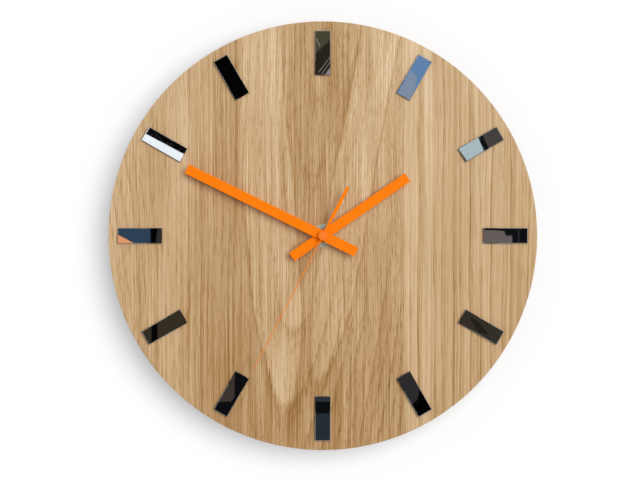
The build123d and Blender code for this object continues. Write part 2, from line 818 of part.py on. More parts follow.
with BuildPart() as battery_wrap:
    with BuildSketch(cell_start.offset(battery_edge_round + wrap_end_margin)):
        Circle(battery_diameter / 2)
        Circle(battery_diameter / 2 - wrap_thickness, mode=Mode.SUBTRACT)
    extrude(amount=can_length - 2 * (battery_edge_round + wrap_end_margin))
save(battery_wrap, "battery_wrap")

# Contacts: flat strips on edge that pass through the dividing wall to the circuit board
strip_line_x = room_right - strip_thickness / 2
leaf_x = battery_end - battery_length - contact_gap - strip_thickness / 2
leaf_foot_z = battery_z - battery_diameter / 2 + room_corner
strip_bend = leaf_bend_share * (leaf_x + strip_line_x)
strip_line_z = strip_thickness / 2 + strip_bend - room_top
with BuildPart() as positive_contact:
    with BuildSketch(at_depth(strip_back)):
        with BuildLine():
            Line((strip_line_x, leaf_foot_z), (strip_line_x, board_centre[1] + board_height / 2))
        trace(line_width=strip_thickness)
    extrude(amount=strip_width)
save(positive_contact, "positive_contact")

with BuildPart() as negative_contact:
    with BuildSketch(at_depth(strip_back)):
        with BuildLine():
            FilletPolyline(
                (leaf_x, battery_z + battery_nub_diameter / 2),
                (leaf_x, leaf_foot_z),
                (-strip_line_x, leaf_foot_z),
                (-strip_line_x, strip_line_z),
                (board_left + strip_landing, strip_line_z),
                radius=strip_bend,
            )
        trace(line_width=strip_thickness)
    extrude(amount=strip_width)
save(negative_contact, "negative_contact")
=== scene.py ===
"""A round oak wall clock with twelve mirror bars, three orange hands and a battery movement.

Lengths are in millimetres and angles in degrees; MM turns a length into the metres of the frame.
"""

from math import cos, pi, radians, sin

import bpy
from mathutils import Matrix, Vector


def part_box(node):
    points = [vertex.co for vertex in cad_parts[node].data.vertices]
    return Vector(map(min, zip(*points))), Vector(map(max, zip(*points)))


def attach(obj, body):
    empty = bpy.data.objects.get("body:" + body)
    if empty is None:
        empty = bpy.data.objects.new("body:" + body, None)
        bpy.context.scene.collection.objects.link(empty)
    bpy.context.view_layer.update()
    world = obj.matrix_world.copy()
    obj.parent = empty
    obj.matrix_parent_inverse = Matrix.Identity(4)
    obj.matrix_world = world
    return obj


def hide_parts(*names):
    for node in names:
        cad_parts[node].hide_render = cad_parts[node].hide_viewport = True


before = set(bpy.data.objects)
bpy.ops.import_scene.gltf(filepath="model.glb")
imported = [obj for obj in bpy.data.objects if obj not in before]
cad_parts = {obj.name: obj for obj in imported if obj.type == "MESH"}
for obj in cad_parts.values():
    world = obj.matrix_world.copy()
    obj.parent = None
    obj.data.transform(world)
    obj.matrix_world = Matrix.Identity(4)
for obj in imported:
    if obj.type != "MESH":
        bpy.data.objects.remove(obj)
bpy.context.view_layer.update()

# The board
# A disc of medium-density fibreboard, sawn round and bored in the middle for the bush.
# It carries the veneers and shows only inside the bore, as a dull brown felt of wood fibres.
MM = 0.001
FINE_SHARE = 0.65
FINE_SPAN = (0.35, 0.65)
CLOUD_SCALE = 0.08
RELIEF_STRENGTH = 0.5


def srgb(red, green, blue):
    """A colour as read from a screen, 0 to 255, in the linear values that a shader takes."""
    shares = [value / 255 for value in (red, green, blue)]
    return tuple(s / 12.92 if s <= 0.04045 else ((s + 0.055) / 1.055) ** 2.4 for s in shares) + (1.0,)


def add_node(tree, kind, inputs=None, **settings):
    """A shader node with its settings; each input takes a plain value or another node's output."""
    made = tree.nodes.new("ShaderNode" + kind)
    for name, value in settings.items():
        setattr(made, name, value)
    for socket, value in (inputs or {}).items():
        if isinstance(value, bpy.types.NodeSocket):
            tree.links.new(value, made.inputs[socket])
        else:
            made.inputs[socket].default_value = value
    return made


def calc(tree, operation, *values):
    """One step of arithmetic between values and sockets."""
    return add_node(tree, "Math", dict(enumerate(values)), operation=operation).outputs[0]


def rescale(tree, value, old, new=(0.0, 1.0)):
    """A value moved from an old span to a new one, held at the ends."""
    made = add_node(tree, "MapRange", {0: value, 1: old[0], 2: old[1], 3: new[0], 4: new[1]})
    return made.outputs[0]


def millimetres(tree):
    """The place on the piece in millimetres, as x, y, z and the three together."""
    place = add_node(tree, "TexCoord").outputs["Object"]
    scaled = add_node(tree, "VectorMath", {0: place, "Scale": 1 / MM}, operation="SCALE").outputs[0]
    split = add_node(tree, "SeparateXYZ", {0: scaled})
    return split.outputs[0], split.outputs[1], split.outputs[2], scaled


def mottle(tree, place, scale, detail):
    """Soft blotches, from 0 to 1, with their scale in blotches to the millimetre."""
    made = add_node(tree, "TexNoise", {"Vector": place, "Scale": scale, "Detail": detail})
    return made.outputs["Fac"]


def blend_values(tree, factor, first, second):
    """A value between two others, along a factor from 0 to 1."""
    return add_node(tree, "Mix", {0: factor, 2: first, 3: second}).outputs[0]


def blend_colours(tree, factor, first, second, way="MIX"):
    """A colour between two others, along a factor from 0 to 1."""
    made = add_node(tree, "Mix", {0: factor, 6: first, 7: second}, data_type="RGBA", blend_type=way)
    return made.outputs[2]


def new_group(name, **sockets):
    """An empty node group that takes the given sockets and puts out a colour, a roughness and a height."""
    group = bpy.data.node_groups.new(name, "ShaderNodeTree")
    for socket, kind in sockets.items():
        group.interface.new_socket(socket, in_out="INPUT", socket_type="NodeSocket" + kind)
    for socket, kind in (("Color", "Color"), ("Roughness", "Float"), ("Height", "Float")):
        group.interface.new_socket(socket, in_out="OUTPUT", socket_type="NodeSocket" + kind)
    return group, group.nodes.new("NodeGroupInput").outputs, group.nodes.new("NodeGroupOutput").inputs


def put_out(group, out, colour, roughness, height):
    """Joins what a group has worked out to its three outputs."""
    group.links.new(colour, out["Color"])
    group.links.new(roughness, out["Roughness"])
    group.links.new(height, out["Height"])


def fine_grain_group():
    """A fine mottle over broad clouds, with its grain size in millimetres."""
    group, given, out = new_group("fine_grain", Dark="Color", Light="Color", Size="Float", Smooth="Float",
                                  Rough="Float")
    _, _, _, place = millimetres(group)
    scale = calc(group, "DIVIDE", 1.0, given["Size"])
    fine = mottle(group, place, scale, detail=3.0)
    clouds = mottle(group, place, calc(group, "MULTIPLY", scale, CLOUD_SCALE), detail=2.0)
    both = calc(group, "MULTIPLY_ADD", fine, FINE_SHARE, calc(group, "MULTIPLY", clouds, 1 - FINE_SHARE))
    worn = rescale(group, both, FINE_SPAN)
    put_out(group, out, colour=blend_colours(group, worn, given["Dark"], given["Light"]),
            roughness=blend_values(group, worn, given["Smooth"], given["Rough"]), height=fine)
    return group


fine_grain = fine_grain_group()


def new_finish(name, **values):
    """A material with its one shader; keyword values are the shader's own sockets."""
    finish = bpy.data.materials.new(name)
    finish.use_nodes = True
    shader = finish.node_tree.nodes["Principled BSDF"]
    for socket, value in values.items():
        titled = socket.replace("_", " ").title().replace("Ior", "IOR")
        shader.inputs[titled].default_value = value
    return finish, finish.node_tree, shader


def raise_relief(tree, shader, height, relief):
    """Raises a pattern of heights on the surface; the relief is in millimetres."""
    bump = add_node(tree, "Bump", {"Height": height, "Strength": RELIEF_STRENGTH, "Distance": relief * MM})
    tree.links.new(bump.outputs[0], shader.inputs["Normal"])


def lay_pattern(tree, shader, pattern, relief):
    """Joins a pattern's colour, roughness and height to the shader; the relief is in millimetres."""
    tree.links.new(pattern.outputs["Color"], shader.inputs["Base Color"])
    tree.links.new(pattern.outputs["Roughness"], shader.inputs["Roughness"])
    raise_relief(tree, shader, pattern.outputs["Height"], relief)


def grained_finish(name, dark, light, size, smooth, rough, relief, **values):
    """A finish whose colour, gloss and relief follow the fine grain."""
    finish, tree, shader = new_finish(name, **values)
    grain = add_node(tree, "Group", {"Dark": dark, "Light": light, "Size": size, "Smooth": smooth,
                                     "Rough": rough}, node_tree=fine_grain)
    lay_pattern(tree, shader, grain, relief)
    return finish


def dress(finish, *nodes):
    """Gives a finish to pieces of the frame."""
    for name in nodes:
        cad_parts[name].data.materials.clear()
        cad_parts[name].data.materials.append(finish)


fibreboard = grained_finish("fibreboard", srgb(122, 92, 62), srgb(172, 140, 104),
                            size=0.7, smooth=0.85, rough=0.95, relief=0.1)
dress(fibreboard, "dial_core")

# The oak veneers
# Sliced oak leaves about 125 mm wide, edge-joined, pressed on both faces of the board and oiled to a satin.
# The middle leaf is crown-cut with its arches pointing down; the outer leaves are rift-cut and straight.
OAK_GLOSS = 0.2
OAK_RELIEF = 0.06
OAK_ROUGHNESS = 0.48
OAK_COLOURS = (
    (0.0, srgb(147, 104, 50)),
    (0.22, srgb(171, 131, 81)),
    (0.56, srgb(199, 165, 121)),
    (0.9, srgb(222, 194, 155)),
    (1.0, srgb(233, 209, 172)),
)
OAK_BLUSH = (1.0, 0.965, 0.95, 1.0)
BLUSH_SPAN = (-0.15, 0.15)
STREAK_SPAN = (-0.2, 0.2)
RING_LINE = ((0.0, 0.8), (0.04, 1.0), (0.12, 0.45), (0.4, 0.1), (0.92, 0.0), (0.98, 0.3))
RING_RAGGEDNESS = 0.42
RING_WEIGHTS = (0.35, 1.0)
RING_BREAKS = (0.4, 1.2)
RING_DARK = 0.55
PORE_WIDTH = 0.5
PORE_LENGTH = 11.0
PORE_EDGE = (0.34, 0.2)
EARLY_WOOD = 0.45
PORES_SPARSE = 0.25
PORES_DENSE = 0.8
PORE_DARK = 0.45
PORE_ROUGHNESS = 0.25
BROAD_STREAKS = 0.45
THREADS = 0.55
HAIRS = 1.3


def ramp(tree, factor, stops):
    """A blend of grey tones or colours along a factor from 0 to 1."""
    made = add_node(tree, "ValToRGB", {"Fac": factor})
    elements = made.color_ramp.elements
    elements[1].position = 1.0
    for _ in stops[2:]:
        elements.new(1.0)
    for element, (position, colour) in zip(elements, stops):
        element.position = position
        element.color = colour if isinstance(colour, tuple) else (colour, colour, colour, 1.0)
    return made.outputs["Color"]


def stretched(tree, across, along, width, length, seed=0.0):
    """A place on the grain, counted in cells of a given width and length."""
    made = add_node(tree, "CombineXYZ", {0: calc(tree, "DIVIDE", across, width),
                                         1: calc(tree, "DIVIDE", along, length), 2: seed})
    return made.outputs[0]


def streaks(tree, across, along, width, length, seed=0.0):
    """Soft streaks of a given width and length, from -0.5 to 0.5."""
    noise = mottle(tree, stretched(tree, across, along, width, length, seed), scale=1.0, detail=1.0)
    return calc(tree, "SUBTRACT", noise, 0.5)


def hypotenuse(tree, first, second):
    """The long side of a right-angled triangle."""
    squares = (calc(tree, "MULTIPLY", side, side) for side in (first, second))
    return calc(tree, "SQRT", calc(tree, "ADD", *squares))


def oak_grain_group():
    """The grain of oak: growth rings, short fibres and open pores over a tone."""
    group, given, out = new_group("oak_grain", Across="Float", Along="Float", Rings="Float", Depth="Float",
                                  Fibre="Float", Tone="Float")
    across, along = given["Across"], given["Along"]
    ragged = streaks(group, across, along, width=0.8, length=70.0, seed=11.0)
    ragged = calc(group, "MULTIPLY", ragged, given["Fibre"])
    rings = calc(group, "MULTIPLY_ADD", ragged, RING_RAGGEDNESS, given["Rings"])
    share = calc(group, "FRACT", rings)
    chance = add_node(group, "TexWhiteNoise", {"W": calc(group, "FLOOR", rings)}, noise_dimensions="1D")
    weight = rescale(group, chance.outputs["Value"], (0.0, 1.0), RING_WEIGHTS)
    breaks = streaks(group, across, along, width=4.0, length=40.0, seed=7.0)
    line = calc(group, "MULTIPLY", ramp(group, share, RING_LINE), weight)
    line = calc(group, "MULTIPLY", line, rescale(group, breaks, STREAK_SPAN, RING_BREAKS))

    cell = stretched(group, across, along, PORE_WIDTH, PORE_LENGTH)
    pore_net = add_node(group, "TexVoronoi", {"Vector": cell, "Scale": 1.0, "Randomness": 1.0},
                        voronoi_dimensions="2D")
    pore_chance = add_node(group, "SeparateColor", {0: pore_net.outputs["Color"]}).outputs[0]
    open_share = rescale(group, share, (EARLY_WOOD, 0.0), (PORES_SPARSE, PORES_DENSE))
    open_here = calc(group, "LESS_THAN", pore_chance, open_share)
    pores = calc(group, "MULTIPLY", rescale(group, pore_net.outputs["Distance"], PORE_EDGE), open_here)

    broad = streaks(group, across, along, width=2.6, length=200.0)
    threads = streaks(group, across, along, width=1.1, length=90.0, seed=3.0)
    hairs = streaks(group, across, along, width=0.5, length=85.0, seed=4.0)
    fibres = calc(group, "MULTIPLY_ADD", hairs, HAIRS, calc(group, "MULTIPLY", pores, -PORE_DARK))
    ring_change = calc(group, "MULTIPLY", given["Depth"], -RING_DARK)
    tone = calc(group, "MULTIPLY_ADD", line, ring_change, given["Tone"])
    tone = calc(group, "MULTIPLY_ADD", broad, BROAD_STREAKS, tone)
    tone = calc(group, "MULTIPLY_ADD", threads, THREADS, tone)
    tone = calc(group, "MULTIPLY_ADD", fibres, given["Fibre"], tone)
    warm = rescale(group, streaks(group, across, along, width=7.0, length=50.0, seed=13.0), BLUSH_SPAN)
    colour = ramp(group, tone, OAK_COLOURS)
    put_out(group, out, colour=blend_colours(group, warm, colour, OAK_BLUSH, way="MULTIPLY"),
            roughness=calc(group, "MULTIPLY_ADD", pores, PORE_ROUGHNESS, OAK_ROUGHNESS),
            height=calc(group, "MULTIPLY_ADD", pores, -1.0, threads))
    return group


oak_grain = oak_grain_group()


def oak_surface(tree, shader, across, along, rings, ring_depth, fibre, tone):
    """Lays oak on a surface, from the place on the grain and how rings, fibres and tone run there."""
    grain = add_node(tree, "Group", {"Across": across, "Along": along, "Rings": rings, "Depth": ring_depth,
                                     "Fibre": fibre, "Tone": tone}, node_tree=oak_grain)
    lay_pattern(tree, shader, grain, OAK_RELIEF)


SWAY = 5.0
RIPPLE = 0.8


def waved(tree, x, z):
    """The place across the grain, swayed a little along its length as a tree grows."""
    sway = streaks(tree, x, z, width=18.0, length=130.0, seed=9.0)
    ripple = streaks(tree, x, z, width=7.0, length=60.0, seed=2.0)
    return calc(tree, "MULTIPLY_ADD", sway, SWAY, calc(tree, "MULTIPLY_ADD", ripple, RIPPLE, x))


TONE_RISE = 0.0006
CROWN_TONE = 0.475
NO_CHANGE = 0.5
ARCH_FADE = 0.8
ARCH_RAGGEDNESS = 22.0
CROWN_ARCHES = (
    dict(tip=(-28.0, -134.0), width=19.0, height=85.0, lean=-0.085, change=0.21, outline=0.13),
    dict(tip=(-4.0, -112.0), width=15.0, height=60.0, lean=0.18, change=0.13, outline=0.2),
    dict(tip=(-25.6, -52.0), width=12.0, height=60.0, lean=0.32, change=-0.1, outline=0.0),
    dict(tip=(-14.0, 46.8), width=24.0, height=75.0, lean=0.2, change=-0.09, outline=0.08),
    dict(tip=(44.0, 0.0), width=22.0, height=60.0, lean=0.0, change=0.11, outline=0.0),
)


def arch(tree, x, z, tip, width, height, lean, change, outline):
    """An arch of the figure that opens upwards from its tip: paler inside by a change, or browner if it
    is below zero, and darker along its outline."""
    up = calc(tree, "SUBTRACT", z, tip[1])
    aside = calc(tree, "SUBTRACT", calc(tree, "MULTIPLY_ADD", up, -lean, x), tip[0])
    reach = calc(tree, "DIVIDE", aside, width)
    inside = calc(tree, "SUBTRACT", calc(tree, "MINIMUM", calc(tree, "DIVIDE", up, height), 1.0),
                  calc(tree, "MULTIPLY", reach, reach))
    tones = ((0.3, NO_CHANGE), (0.47, NO_CHANGE - outline), (0.54, NO_CHANGE + change),
             (1.0, NO_CHANGE + ARCH_FADE * change))
    return ramp(tree, rescale(tree, inside, (-1.0, 1.0)), tones)


def crown_tone(tree, x, z):
    """The light and dark of the crown-cut leaf: two pale arches low down, a brown one by the hub, a brown
    wedge at the top and a pale arch at the right."""
    ragged = streaks(tree, x, z, width=1.2, length=60.0, seed=17.0)
    ragged = calc(tree, "MULTIPLY_ADD", ragged, ARCH_RAGGEDNESS, z)
    tone = calc(tree, "MULTIPLY_ADD", z, TONE_RISE, CROWN_TONE - NO_CHANGE * len(CROWN_ARCHES))
    for shape in CROWN_ARCHES:
        tone = calc(tree, "ADD", tone, arch(tree, x, ragged, **shape))
    return tone


def span(node, axis):
    """The low and high side of a frame piece along x, y or z."""
    return [round(corner["xyz".index(axis)] / MM, 3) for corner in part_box(node)]


LEAF_JOIN_LEFT = -62.2
LEAF_JOIN_RIGHT = 62.5
LEFT_RING_GAP = 5.2
CROWN_RING_GAP = 6.0
RIGHT_RING_GAP = 7.6
RING_UNEVENNESS = 2.5
FAN_SPAN = (-105.0, -160.0)
FAN_SLOPE = 0.15
HEART_X = -14.7
HEART_LEAN = 0.11
HEART_DEPTH = 34.8
HEART_DIP = -0.1
HEART_WIDTH = 12.0
CROWN_RING_DEPTH = 0.45
FLANK_SPAN = (-70.0, 30.0)
FLANK_RING_DEPTHS = (0.6, -0.45)
TONES_FROM = 62.0
LEFT_TONES = (
    (0.0, 0.69), (0.25, 0.6), (0.42, 0.59), (0.54, 0.67), (0.66, 0.55), (0.88, 0.41), (1.0, 0.46),
)
RIGHT_TONES = ((0.0, 0.8), (0.18, 0.78), (0.3, 0.58), (0.5, 0.66), (0.7, 0.68), (1.0, 0.58))
CLOUDS = 0.3
rim_radius = span("oak_edge_band", "x")[1]


def face_veneer_finish():
    """Three leaves side by side, each with its own rings, fibres and tones."""
    finish, tree, shader = new_finish("oak_face", specular_ior_level=OAK_GLOSS)
    x, _, z, _ = millimetres(tree)
    bent = waved(tree, x, z)
    on_left = calc(tree, "LESS_THAN", x, LEAF_JOIN_LEFT)
    on_right = calc(tree, "GREATER_THAN", x, LEAF_JOIN_RIGHT)

    def by_leaf(left, middle, right):
        """The value of the leaf that is here."""
        return blend_values(tree, on_right, blend_values(tree, on_left, middle, left), right)

    uneven = streaks(tree, x, 0.0, width=13.0, length=1.0, seed=5.0)
    fan = calc(tree, "MULTIPLY_ADD", z, rescale(tree, x, FAN_SPAN, (0.0, FAN_SLOPE)), bent)
    left_rings = calc(tree, "DIVIDE", fan, LEFT_RING_GAP)
    left_rings = calc(tree, "MULTIPLY_ADD", uneven, RING_UNEVENNESS, left_rings)
    right_rings = calc(tree, "DIVIDE", bent, RIGHT_RING_GAP)
    right_rings = calc(tree, "MULTIPLY_ADD", uneven, RING_UNEVENNESS, right_rings)
    from_heart = calc(tree, "SUBTRACT", bent, calc(tree, "MULTIPLY_ADD", z, HEART_LEAN, HEART_X))
    heart_depth = calc(tree, "MULTIPLY_ADD", z, HEART_DIP, HEART_DEPTH)
    crown_rings = calc(tree, "DIVIDE", hypotenuse(tree, from_heart, heart_depth), CROWN_RING_GAP)
    # Right of the heart the rings are dark low down, fade on the way up and turn pale above the hub.
    right_flank = rescale(tree, z, FLANK_SPAN, FLANK_RING_DEPTHS)
    crown_depth = rescale(tree, from_heart, (0.0, HEART_WIDTH), (CROWN_RING_DEPTH, right_flank))

    left_tone = ramp(tree, rescale(tree, bent, (-rim_radius, -TONES_FROM)), LEFT_TONES)
    left_tone = calc(tree, "MULTIPLY_ADD", z, TONE_RISE, left_tone)
    right_tone = ramp(tree, rescale(tree, bent, (TONES_FROM, rim_radius)), RIGHT_TONES)
    right_tone = calc(tree, "MULTIPLY_ADD", z, TONE_RISE, right_tone)
    cloud = streaks(tree, bent, z, width=22.0, length=120.0, seed=6.0)
    leaf_tone = by_leaf(left_tone, crown_tone(tree, bent, z), right_tone)
    oak_surface(tree, shader, across=bent,
                along=calc(tree, "MULTIPLY", z, by_leaf(left=0.6, middle=1.0, right=0.45)),
                rings=by_leaf(left_rings, crown_rings, right_rings),
                ring_depth=by_leaf(left=0.6, middle=crown_depth, right=1.0),
                fibre=by_leaf(left=0.8, middle=0.86, right=0.62),
                tone=calc(tree, "MULTIPLY_ADD", cloud, CLOUDS, leaf_tone))
    return finish


BACK_LOG_SHIFT = 300.0
BACK_RING_GAP = 9.5


def back_veneer_finish():
    """Plain straight leaves from another part of the log."""
    finish, tree, shader = new_finish("oak_back", specular_ior_level=OAK_GLOSS)
    x, _, z, _ = millimetres(tree)
    bent = waved(tree, calc(tree, "ADD", x, BACK_LOG_SHIFT), z)
    oak_surface(tree, shader, across=bent, along=z, rings=calc(tree, "DIVIDE", bent, BACK_RING_GAP),
                ring_depth=0.7, fibre=0.8, tone=0.6)
    return finish


dress(face_veneer_finish(), "oak_face_veneer")
dress(back_veneer_finish(), "oak_back_veneer")

# The edge band
# A strip of oak edging bent once round the board and glued, then sanded flush with the veneers.
# Its grain runs along the strip, round the rim.
EDGE_RING_GAP = 3.1


def edge_band_finish():
    """Straight grain wrapped round the rim."""
    finish, tree, shader = new_finish("oak_edge", specular_ior_level=OAK_GLOSS)
    x, y, z, _ = millimetres(tree)
    oak_surface(tree, shader, across=y,
                along=calc(tree, "MULTIPLY", calc(tree, "ARCTAN2", z, x), rim_radius),
                rings=calc(tree, "DIVIDE", y, EDGE_RING_GAP), ring_depth=0.6, fibre=0.8, tone=0.6)
    return finish


dress(edge_band_finish(), "oak_edge_band")

# The hour markers
# Twelve bars laser-cut from 2 mm mirror acrylic and stuck on with strips of thin double-sided tape.
# The face mirrors the room; the cut edges are clear acrylic over the dark backing and look almost black.
MARKER_COUNT = 12
MIRROR_TINT = srgb(208, 211, 213)
CUT_EDGE = srgb(14, 15, 17)
SILVERED_WITHIN = 0.05
BARE_BEYOND = 0.15
MOTTLE_SPAN = (0.3, 0.7)
HAZE_SHADES = (0.96, 1.0)
HAZE_ROUGHNESS = (0.004, 0.014)
marker_face = span("hour_marker_12", "y")[0]


def mirror_finish():
    """Silver on the front face with a faint haze, and bare acrylic down the sides."""
    finish, tree, shader = new_finish("mirror_acrylic")
    _, y, _, place = millimetres(tree)
    haze = mottle(tree, place, scale=0.35, detail=4.0)
    on_face = rescale(tree, y, (marker_face + BARE_BEYOND, marker_face + SILVERED_WITHIN))
    silvered = calc(tree, "MULTIPLY", on_face, rescale(tree, haze, MOTTLE_SPAN, HAZE_SHADES))
    colour = ramp(tree, silvered, ((0.0, CUT_EDGE), (1.0, MIRROR_TINT)))
    tree.links.new(colour, shader.inputs["Base Color"])
    tree.links.new(on_face, shader.inputs["Metallic"])
    tree.links.new(rescale(tree, haze, MOTTLE_SPAN, HAZE_ROUGHNESS), shader.inputs["Roughness"])
    return finish


mirror = mirror_finish()
for hour in range(1, MARKER_COUNT + 1):
    dress(mirror, f"hour_marker_{hour:02d}")
foam_tape = grained_finish("foam_tape", srgb(205, 205, 200), srgb(228, 228, 224),
                           size=0.3, smooth=0.7, rough=0.9, relief=0.03)
dress(foam_tape, "marker_tapes")

# The centre hardware
# A threaded brass bush comes through the board, and a plated nut on a flat zinc-plated washer clamps it.
# A rubber gasket behind the board takes up the pull; the metal keeps fine rings from the lathe.
TOOL_LINE = 0.12
LATHE_RELIEF = 0.004
HALF_EACH = (0.0, 0.5)


def tooled_group():
    """Fine lines left by a tool, along one direction given in millimetres across them, and faint stains."""
    group, given, out = new_group("tooled", Across="Float", Dark="Color", Light="Color", Smooth="Float",
                                  Rough="Float")
    lines = streaks(group, given["Across"], 0.0, width=TOOL_LINE, length=1.0)
    stains = mottle(group, millimetres(group)[3], scale=0.4, detail=3.0)
    worn = calc(group, "ADD", rescale(group, lines, STREAK_SPAN, HALF_EACH),
                rescale(group, stains, MOTTLE_SPAN, HALF_EACH))
    put_out(group, out, colour=blend_colours(group, worn, given["Dark"], given["Light"]),
            roughness=blend_values(group, worn, given["Smooth"], given["Rough"]), height=lines)
    return group


tooled = tooled_group()


def tooled_surface(tree, shader, across, dark, light, smooth, rough, relief):
    """Lays tool lines on a surface."""
    lines = add_node(tree, "Group", {"Across": across, "Dark": dark, "Light": light, "Smooth": smooth,
                                     "Rough": rough}, node_tree=tooled)
    lay_pattern(tree, shader, lines, relief)


def turned_metal(name, dark, light, smooth, rough, **values):
    """A metal turned about the dial's axis, with rings from the tool."""
    finish, tree, shader = new_finish(name, **values)
    x, y, z, _ = millimetres(tree)
    across = calc(tree, "ADD", hypotenuse(tree, x, z), y)
    tooled_surface(tree, shader, across, dark, light, smooth, rough, LATHE_RELIEF)
    return finish


zinc = turned_metal("zinc_plate", srgb(152, 154, 132), srgb(180, 182, 158),
                    smooth=0.4, rough=0.55, metallic=0.2)
nickel = turned_metal("nickel_plate", srgb(150, 148, 142), srgb(196, 194, 188),
                      smooth=0.16, rough=0.28, metallic=1.0)
brass = turned_metal("brass", srgb(186, 142, 66), srgb(222, 182, 104),
                     smooth=0.2, rough=0.34, metallic=1.0)
gasket_rubber = grained_finish("gasket_rubber", srgb(16, 16, 17), srgb(34, 34, 35),
                               size=0.2, smooth=0.7, rough=0.9, relief=0.03)
dress(zinc, "steel_washer")
dress(nickel, "hex_nut")
dress(brass, "threaded_bush")
dress(gasket_rubber, "rubber_gasket")

# The hands
# Strips stamped from half-millimetre aluminium and powder-coated a flat orange, riveted to brass collars.
# The second hand is a thin needle with a broad tail, pushed on under a moulded orange cap.
enamel = grained_finish("orange_enamel", srgb(250, 122, 1), srgb(255, 131, 7),
                        size=0.45, smooth=0.5, rough=0.6, relief=0.02, specular_ior_level=0.05)
cap_plastic = grained_finish("orange_plastic", srgb(249, 116, 20), srgb(254, 126, 30),
                             size=0.8, smooth=0.4, rough=0.5, relief=0.01, specular_ior_level=0.15)
dress(enamel, "hour_hand", "minute_hand", "second_hand")
dress(cap_plastic, "second_hand_cap")
dress(brass, "hour_hand_collar", "minute_hand_collar")

# The movement case
# An injection-moulded box of black plastic with a spark-eroded skin: a gear room above, a battery bay below
# and a hanger loop on its top edge. It hangs the clock and carries everything behind the dial.
case_plastic = grained_finish("case_plastic", srgb(24, 24, 26), srgb(44, 44, 47),
                              size=0.25, smooth=0.42, rough=0.62, relief=0.03)
dress(case_plastic, "movement_case")

# The rear cover
# A flat moulding that snaps into the case, with a round well for the setting knob.
# A curved arrow shows the way to turn it, and plus and minus signs stand over the ends of the battery.
COVER_EASE = 0.15
EASE_STEPS = 2
MARK_DEPTH = 0.4
MARK_WIDTH = 0.9
ARROW_RADIUS = 9.4
ARROW_POINT = 200
ARROW_SWEEP = 250
ARROW_STEPS = 48
ARROW_HEAD = 1.7
SIGN_SPAN = 4.0
SIGN_X = 20.5
SIGN_Z = -14.2
ENGRAVING = 2 * MARK_DEPTH
SAME_POINT = 0.002
FLAT_WITHIN = 1
EDGE_BEYOND = 40
SMOOTH_BELOW = 32


def activate(piece):
    """Selects one piece alone."""
    bpy.ops.object.select_all(action="DESELECT")
    piece.select_set(True)
    bpy.context.view_layer.objects.active = piece


def eased_copy(node, name, ease):
    """A copy of a frame piece with its sharp edges rounded; the ease is in millimetres."""
    piece = bpy.data.objects.new(name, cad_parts[node].data.copy())
    bpy.context.scene.collection.objects.link(piece)
    activate(piece)
    bpy.ops.mesh.customdata_custom_splitnormals_clear()
    bpy.ops.object.mode_set(mode="EDIT")
    bpy.ops.mesh.select_all(action="SELECT")
    bpy.ops.mesh.remove_doubles(threshold=SAME_POINT * MM)
    bpy.ops.mesh.dissolve_limited(angle_limit=radians(FLAT_WITHIN))
    bpy.ops.object.mode_set(mode="OBJECT")
    bpy.ops.object.modifier_add(type="BEVEL")
    bevel = piece.modifiers[-1]
    bevel.width = ease * MM
    bevel.segments = EASE_STEPS
    bevel.limit_method = "ANGLE"
    bevel.angle_limit = radians(EDGE_BEYOND)
    bpy.ops.object.modifier_apply(modifier=bevel.name)
    return piece


def finish_piece(piece, finish, body, slot, *nodes):
    """Shades a piece, gives it its finish, ties it to its body and hides the frame pieces it stands for."""
    activate(piece)
    bpy.ops.object.shade_smooth_by_angle(angle=radians(SMOOTH_BELOW))
    bpy.ops.object.modifier_add(type="WEIGHTED_NORMAL")
    flat_faces_first = piece.modifiers[-1]
    flat_faces_first.keep_sharp = True
    bpy.ops.object.modifier_apply(modifier=flat_faces_first.name)
    piece.data.materials.clear()
    piece.data.materials.append(finish)
    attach(piece, body)
    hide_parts(*nodes)


def engrave(piece, cutter):
    """Cuts one shape out of a piece and clears the cutter away."""
    activate(piece)
    bpy.ops.object.modifier_add(type="BOOLEAN")
    cut = piece.modifiers[-1]
    cut.operation = "DIFFERENCE"
    cut.solver = "MANIFOLD"
    cut.object = cutter
    bpy.ops.object.modifier_apply(modifier=cut.name)
    bpy.data.objects.remove(cutter)


def sign_bar(x, z, width, height):
    """One straight stroke of a plus or minus sign."""
    bpy.ops.object.select_all(action="DESELECT")
    bpy.ops.mesh.primitive_cube_add(size=1, location=(x * MM, 0, z * MM),
                                    scale=(width * MM, ENGRAVING * MM, height * MM))
    return bpy.context.object


def arrow_shaft(centre):
    """A rectangular groove swept round the knob's axis."""
    bpy.ops.object.select_all(action="DESELECT")
    bpy.ops.mesh.primitive_plane_add(size=1)
    groove = bpy.context.object
    groove.scale = (MARK_WIDTH * MM, ENGRAVING * MM, 1)
    groove.location = centre + Vector((ARROW_RADIUS * MM, 0, 0))
    bpy.ops.object.transform_apply()
    bpy.ops.object.mode_set(mode="EDIT")
    bpy.ops.mesh.select_all(action="SELECT")
    bpy.ops.transform.rotate(value=radians(ARROW_POINT), orient_axis="Y", center_override=centre)
    bpy.ops.mesh.spin(steps=ARROW_STEPS, angle=radians(ARROW_SWEEP), center=centre, axis=(0, -1, 0))
    bpy.ops.mesh.select_all(action="SELECT")
    bpy.ops.mesh.normals_make_consistent(inside=False)
    bpy.ops.object.mode_set(mode="OBJECT")
    return groove


def arrow_head(centre):
    """A three-cornered pocket at the end of the groove, pointing on round the knob."""
    bpy.ops.object.select_all(action="DESELECT")
    end = radians(ARROW_POINT)
    middle = centre + Vector((cos(end), 0, sin(end))) * ARROW_RADIUS * MM
    bpy.ops.mesh.primitive_cylinder_add(vertices=3, radius=ARROW_HEAD * MM, depth=ENGRAVING * MM,
                                        location=middle, rotation=(radians(90), -end, 0))
    return bpy.context.object


